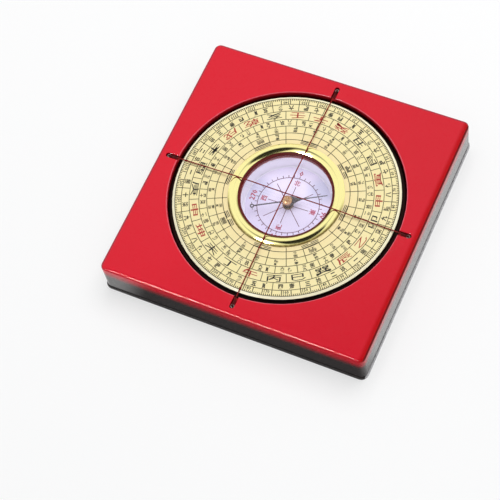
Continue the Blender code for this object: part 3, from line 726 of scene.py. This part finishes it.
def dress_nodes():
    """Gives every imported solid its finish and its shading."""
    curved = shading_group("shade_curves", CURVE_ANGLE)
    bevelled = shading_group("shade_bevels", FACE_CURVE_ANGLE)
    brass = turned_brass("turned_brass", (0.50, 0.28, 0.13), (0.68, 0.42, 0.22))
    bronze = turned_brass("dark_bronze", (0.30, 0.22, 0.19), (0.55, 0.44, 0.40))
    nylon = moulded("nylon", (0.72, 0.68, 0.56), (0.82, 0.78, 0.68), 0.40)
    finishes = {
        "board": lacquer(),
        "base_sheet": backing(),
        "slip_ring": felt(),
        "dial_disc": bakelite(),
        "dial_face": dial_paper(),
        "capsule_cup": moulded("cup_plastic", (0.92, 0.885, 1.0), (0.94, 0.91, 1.0), 0.35),
        "compass_card": card(),
        # a darker copy of the turned brass: painted shade, as the base lies under the cap
        "pivot_base": turned_brass("shaded_brass", (0.20, 0.10, 0.05), (0.34, 0.19, 0.10)),
        "pivot_pin": steel("bright_steel", (0.55, 0.55, 0.58), (0.70, 0.70, 0.72), 0.22),
        "needle": steel("blued_steel", (0.055, 0.050, 0.065), (0.13, 0.12, 0.13), 0.36),
        "needle_cap": brass,
        "cap_jewel": jewel(),
        # dark pinkish maroon rather than pale silicone: painted shade under the retaining ring
        "glass_seal": moulded("seal_silicone", (0.34, 0.075, 0.10), (0.44, 0.11, 0.14), 0.50),
        "glass": clear_glass(),
        "retaining_ring": maroon(),
        "bezel": polished_brass(),
        "thread_north_south": thread("thread_ns", "y", "x"),
        "thread_east_west": thread("thread_ew", "x", "y"),
    }
    for side in ("north", "east", "south", "west"):
        finishes["thread_bead_" + side] = bronze
        finishes["thread_anchor_" + side] = nylon
    for name, finish in finishes.items():
        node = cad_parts[name]
        for slot in node.material_slots:
            slot.material = finish
        shade_curves(node, bevelled if name == "dial_face" else curved)


def heading(bearing):
    """The unit vector of a bearing, in degrees clockwise from north."""
    angle = math.radians(bearing)
    return Vector((math.sin(angle), math.cos(angle)))


def middle_of(ring):
    return (ring[0] + ring[1]) / 2


class Print:
    """Flat ink shapes on one face, in millimetres, gathered into one piece."""

    glyphs = {}

    def __init__(self, turn):
        self.turn = turn
        self.points = []
        self.faces = []

    def add(self, points, faces):
        start = len(self.points)
        self.points.extend(points)
        self.faces.extend([start + i for i in face] for face in faces)

    def circle(self, radius, width=LINE_WIDTH, steps=RING_STEPS):
        """A ring line of a width, centred on a radius."""
        points = []
        for i in range(steps):
            toward = heading(360 * i / steps)
            points.append(toward * (radius - width / 2))
            points.append(toward * (radius + width / 2))
        faces = []
        for i in range(steps):
            a = 2 * i
            b = (a + 2) % (2 * steps)
            faces.append((a, a + 1, b + 1, b))
        self.add(points, faces)

    def spoke(self, bearing, inner, outer, width=LINE_WIDTH):
        """A line that runs outwards."""
        toward = heading(bearing + self.turn)
        aside = Vector((toward.y, -toward.x)) * (width / 2)
        near = toward * inner
        far = toward * outer
        self.add((near - aside, far - aside, far + aside, near + aside), ((0, 1, 2, 3),))

    def bar(self, bearing, radius, start, end, thickness):
        """A straight bar across a bearing, from start to end along it."""
        toward = heading(bearing + self.turn)
        aside = Vector((toward.y, -toward.x))
        low = toward * (radius - thickness / 2)
        high = toward * (radius + thickness / 2)
        corners = (low + aside * start, high + aside * start, high + aside * end, low + aside * end)
        self.add(corners, ((0, 1, 2, 3),))

    def outline(self, text, weight):
        """A word's triangles in em units, centred, from Blender's built-in font."""
        key = (text, weight)
        if key not in self.glyphs:
            curve = bpy.data.curves.new("sign", "FONT")
            curve.body = text
            curve.resolution_u = 1
            curve.offset = weight
            source = bpy.data.objects.new("sign", curve)
            bpy.context.scene.collection.objects.link(source)
            graph = bpy.context.evaluated_depsgraph_get()
            mesh = bpy.data.meshes.new_from_object(source.evaluated_get(graph))
            points = [vertex.co.to_2d() for vertex in mesh.vertices]
            faces = [tuple(face.vertices) for face in mesh.polygons]
            bpy.data.objects.remove(source)
            bpy.data.meshes.remove(mesh)
            left = min(point.x for point in points)
            right = max(point.x for point in points)
            if text.isascii():
                foot, head = DIGIT_FOOT, DIGIT_HEAD
            else:
                foot, head = SIGN_FOOT, SIGN_HEAD
            middle = Vector(((left + right) / 2, (foot + head) / 2))
            self.glyphs[key] = ([point - middle for point in points], faces)
        return self.glyphs[key]

    def sign(self, text, bearing, radius, size, weight, outward=False):
        """A sign that stands on a bearing, its top towards the middle, or outwards."""
        width, height = size
        points, faces = self.outline(text, weight)
        toward = heading(bearing + self.turn)
        up = toward if outward else -toward
        right = Vector((up.y, -up.x))
        centre = toward * radius
        points = [centre + right * (point.x * width) + up * (point.y * height) for point in points]
        self.add(points, faces)

    def numeral(self, count, bearing, radius, size, plain=False):
        """A counting numeral, plain or formal, repeating after ten."""
        numerals = PLAIN_NUMERALS if plain else FORMAL_NUMERALS
        weight = PLAIN_WEIGHT if plain else NUMBER_WEIGHT
        self.sign(numerals[count % len(numerals)], bearing, radius, size, weight)

    def trigram(self, bearing, bars):
        """Three bars, whole for 1 and broken for 0, from the outside in."""
        half = TRIGRAM_WIDTH / 2
        for row, whole in enumerate(bars):
            radius = middle_of(RING_G) + TRIGRAM_PITCH * (1 - row)
            if whole == "1":
                self.bar(bearing, radius, -half, half, TRIGRAM_BAR)
            else:
                self.bar(bearing, radius, -half, -TRIGRAM_BREAK / 2, TRIGRAM_BAR)
                self.bar(bearing, radius, TRIGRAM_BREAK / 2, half, TRIGRAM_BAR)

    def piece(self, name, surface, finish):
        """Makes the piece, just above a surface's height, and lets it turn with the dial."""
        mesh = bpy.data.meshes.new(name)
        height = surface + INK_LIFT
        corners = [(point.x * MM, point.y * MM, height) for point in self.points]
        mesh.from_pydata(corners, [], self.faces)
        mesh.update()
        upward = sum(face.normal.z for face in mesh.polygons)
        if upward < 0:
            mesh.flip_normals()
        mesh.materials.append(finish)
        piece = bpy.data.objects.new(name, mesh)
        bpy.context.scene.collection.objects.link(piece)
        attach(piece, "dial")


def print_lines():
    """Ring lines, cell lines and degree ticks of the dial."""
    lines = Print(DIAL_TURN)
    for ring in (DEGREE_RING, RING_B, RING_C, RING_D, RING_E, RING_F):
        lines.circle(ring[0])
    lines.circle(DEGREE_RING[1])
    for degree in range(360):
        start = DEGREE_TICK if degree % 5 else DEGREE_RING[0]
        lines.spoke(degree, start, DEGREE_RING[1], TICK_WIDTH)
    for i in range(CELLS):
        bearing = CELL * i
        lines.spoke(bearing, *RING_B)
        lines.spoke(bearing, *RING_D)
        for ring in (RING_C, RING_E, RING_F):
            lines.spoke(bearing + CELL / 2, *ring)
    for i in range(len(TRIGRAMS)):
        lines.spoke(TRIGRAM_STEP * (i + 0.5), *RING_G)
    line_ink = ink("line_ink", (0.035, 0.030, 0.012), (0.075, 0.065, 0.030))
    lines.piece("print_lines", face_top, line_ink)


def print_numbers():
    """Degree numbers, counting numerals and trigram bars of the dial."""
    signs = Print(DIAL_TURN)
    number_size = (NUMBER_WIDTH, NUMBER_HEIGHT / DIGIT_HEAD)
    for degree in range(10, 361, 10):
        signs.sign(str(degree), degree - NUMBER_LAG, NUMBER_RADIUS, number_size, NUMBER_WEIGHT)
    for i in range(CELLS):
        centre = CELL * (i + 0.5)
        for ring, aside, out, size, first, step, plain in CELL_NUMERALS:
            signs.numeral(first + step * i, centre + aside, middle_of(ring) + out, size, plain)
    radius = middle_of(RING_F)
    for i, bars in enumerate(TRIGRAMS):
        bearing = TRIGRAM_STEP * i
        if i % 2:
            for aside in (-PAIR_SHIFT, PAIR_SHIFT):
                signs.numeral(i + 2, bearing + aside, radius, PAIRED_SIGN)
        for count, out in ((2 * i + 1, ROW_SHIFT), (2 * i + 6, -ROW_SHIFT)):
            signs.numeral(count, bearing + CELL, radius + out, SMALL_SIGN)
        signs.trigram(bearing, bars)
    black_ink = ink("black_ink", (0.018, 0.016, 0.011), (0.05, 0.046, 0.032))
    signs.piece("print_numbers", face_top, black_ink)


def print_directions():
    """The ring of twenty-four direction signs, half of them in red."""
    black = Print(DIAL_TURN)
    red = Print(DIAL_TURN)
    for i, mountain in enumerate(MOUNTAINS):
        signs = red if mountain in RED_MOUNTAINS else black
        signs.sign(mountain, CELL * i, middle_of(RING_C), DIRECTION_SIGN, DIRECTION_WEIGHT)
    sign_ink = ink("sign_ink", (0.020, 0.018, 0.020), (0.05, 0.045, 0.03))
    red_ink = ink("red_ink", (0.36, 0.035, 0.025), (0.48, 0.07, 0.05))
    black.piece("print_directions_black", face_top, sign_ink)
    red.piece("print_directions_red", face_top, red_ink)


def print_card():
    """The card's degree circle, its spokes and its signs."""
    lines = Print(CARD_TURN)
    signs = Print(CARD_TURN)
    lines.circle(CARD_CIRCLE, CARD_LINE, CARD_RING_STEPS)
    for degree in range(0, 360, 10):
        lines.spoke(degree, CARD_CIRCLE, CARD_TICK, CARD_LINE)
    for i in range(8):
        end = CARD_DIAGONAL if i % 2 else CARD_CARDINAL
        lines.spoke(45 * i, CARD_SPOKE_START, end, CARD_LINE)
    sign_size = (CARD_SIGN_SIZE, CARD_SIGN_SIZE)
    number_size = (CARD_NUMBER_WIDTH, CARD_NUMBER_HEIGHT / DIGIT_HEAD)
    for i, cardinal in enumerate(CARDINALS):
        degree = 90 * i
        signs.sign(cardinal, degree, CARD_SIGN_RADIUS, sign_size, CARD_SIGN_WEIGHT, outward=True)
        signs.sign(str(degree), degree, CARD_NUMBER_RADIUS, number_size, CARD_NUMBER_WEIGHT,
                   outward=True)
    plum = ink("plum_ink", (0.07, 0.006, 0.04), (0.13, 0.012, 0.07))
    pink = ink("pink_ink", (0.34, 0.006, 0.05), (0.42, 0.014, 0.08))
    lines.piece("print_card_lines", card_top, plum)
    signs.piece("print_card_signs", card_top, pink)


def direction(azimuth, elevation):
    """The unit vector of a direction, with azimuth from -Y towards +X."""
    level = math.cos(elevation)
    return Vector((level * math.sin(azimuth), -level * math.cos(azimuth), math.sin(elevation)))


def add_camera():
    """A camera at the photo's viewpoint."""
    data = bpy.data.cameras.new("camera")
    data.lens = CAMERA_LENS
    data.sensor_width = CAMERA_SENSOR
    data.clip_start = CAMERA_NEAR
    data.clip_end = CAMERA_FAR
    camera = bpy.data.objects.new("camera", data)
    bpy.context.scene.collection.objects.link(camera)
    outward = direction(CAMERA_AZIMUTH, CAMERA_ELEVATION)
    target = Vector((*CAMERA_TARGET, board_top))
    aim = (-outward).to_track_quat("-Z", "Y").to_matrix()
    camera.location = target + outward * CAMERA_DISTANCE
    camera.rotation_euler = (aim @ Matrix.Rotation(CAMERA_ROLL, 3, "Z")).to_euler()
    bpy.context.scene.camera = camera


def front_shade(finish):
    """1 on the floor close in front of the board, 0 elsewhere."""
    edge = board_half * PER_METRE
    sides = edge + FLOOR_SHADE_MARGIN
    ahead = finish.remap(finish.y, -edge, -edge + FLOOR_SHADE_EDGE, 1.0, 0.0)
    ended = finish.remap(finish.y, -edge - FLOOR_SHADE_REACH, -edge - FLOOR_SHADE_EDGE)
    aside = finish.math("ABSOLUTE", finish.math("SUBTRACT", finish.x, FLOOR_SHADE_SHIFT))
    aside = finish.remap(aside, sides - FLOOR_SHADE_EDGE, sides, 1.0, 0.0)
    return finish.times(ahead, ended, aside)


def floor_paint():
    """Matt white that glows a little, and is darker in gloss in front of the board."""
    finish = Finish("floor", roughness=0.7)
    tone = finish.noise(0.004, 2.0)
    finish.set("Base Color", finish.mix(tone, (0.93, 0.93, 0.93), (0.96, 0.96, 0.96)))
    finish.set("Specular IOR Level", 0.0)
    rays = finish.node("ShaderNodeLightPath").outputs
    mirrored = rays["Is Glossy Ray"]
    seen = finish.math("MAXIMUM", finish.times(finish.straight(rays), FLOOR_GLOW),
                       finish.times(mirrored, FLOOR_MIRRORED))
    white = finish.node("ShaderNodeEmission")
    glow = finish.mix_shaders(
        finish.times(seen, finish.direct(rays)), finish.shader.outputs[0], white.outputs[0])
    dark = finish.node("ShaderNodeEmission")
    dark.inputs["Strength"].default_value = 0.0
    shaded = finish.times(front_shade(finish), mirrored, 1.0 - FLOOR_SHADE)
    finish.show(finish.mix_shaders(shaded, glow, dark.outputs[0]))
    return finish.material


def add_floor():
    """A plain pale floor under the object."""
    half = FLOOR_SIDE / 2
    mesh = bpy.data.meshes.new("floor")
    corners = [(-half, -half, 0), (half, -half, 0), (half, half, 0), (-half, half, 0)]
    mesh.from_pydata(corners, [], [(0, 1, 2, 3)])
    mesh.materials.append(floor_paint())
    floor = bpy.data.objects.new("floor", mesh)
    bpy.context.scene.collection.objects.link(floor)


def add_lamps():
    """A large soft panel overhead gives the light, and a small lamp in front the highlights."""
    for name, (place, width, height, power, lights, shines) in LAMPS.items():
        data = bpy.data.lights.new(name, "AREA")
        data.shape = "RECTANGLE"
        data.size = width
        data.size_y = height
        data.energy = power
        lamp = bpy.data.objects.new(name, data)
        lamp.visible_diffuse = lights
        lamp.visible_transmission = False
        lamp.visible_glossy = shines
        lamp.location = place
        lamp.rotation_euler = (-Vector(place)).to_track_quat("-Z", "Y").to_euler()
        bpy.context.scene.collection.objects.link(lamp)


def dark_patch(sky, view, azimuth, elevation, full, end, level):
    """1 in most directions, falling to a level round one of them, over angles in degrees."""
    facing = sky.node("ShaderNodeVectorMath")
    facing.operation = "DOT_PRODUCT"
    sky.feed(view, facing.inputs[0])
    sky.feed(direction(azimuth, elevation), facing.inputs[1])
    outer, inner = (math.cos(math.radians(angle)) for angle in (end, full))
    return sky.remap(facing.outputs["Value"], outer, inner, 1.0, level)


def add_world():
    """A white surround: plain to the camera, a soft fill, and dark patches only in gloss."""
    world = bpy.data.worlds.new("studio")
    bpy.context.scene.world = world
    world.use_nodes = True
    sky = Nodes(world.node_tree)
    rays = sky.node("ShaderNodeLightPath").outputs
    view = sky.node("ShaderNodeTexCoord").outputs["Generated"]
    direct = sky.direct(rays)
    seen = sky.times(sky.straight(rays), direct)
    mirrored = sky.times(rays["Is Glossy Ray"], direct)
    patches = [dark_patch(sky, view, *patch) for patch in DARK_PATCHES]
    shown = sky.math("MAXIMUM", seen, sky.times(mirrored, *patches))
    plain = sky.math("SUBTRACT", 1.0, sky.math("MAXIMUM", seen, mirrored))
    under_glass = sky.times(rays["Is Transmission Ray"], sky.math("SUBTRACT", 1.0, direct))
    level = sky.math("ADD", sky.times(under_glass, GLASS_FILL), WORLD_LEVEL)
    background = sky.tree.nodes["Background"]
    sky.feed(sky.mix(plain, WHITE, WORLD_TINT), background.inputs["Color"])
    sky.feed(sky.math("ADD", shown, sky.times(plain, level)), background.inputs["Strength"])


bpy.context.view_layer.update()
dress_nodes()
print_lines()
print_numbers()
print_directions()
print_card()
add_floor()
add_lamps()
add_world()
add_camera()
bpy.context.scene.view_settings.view_transform = "Standard"
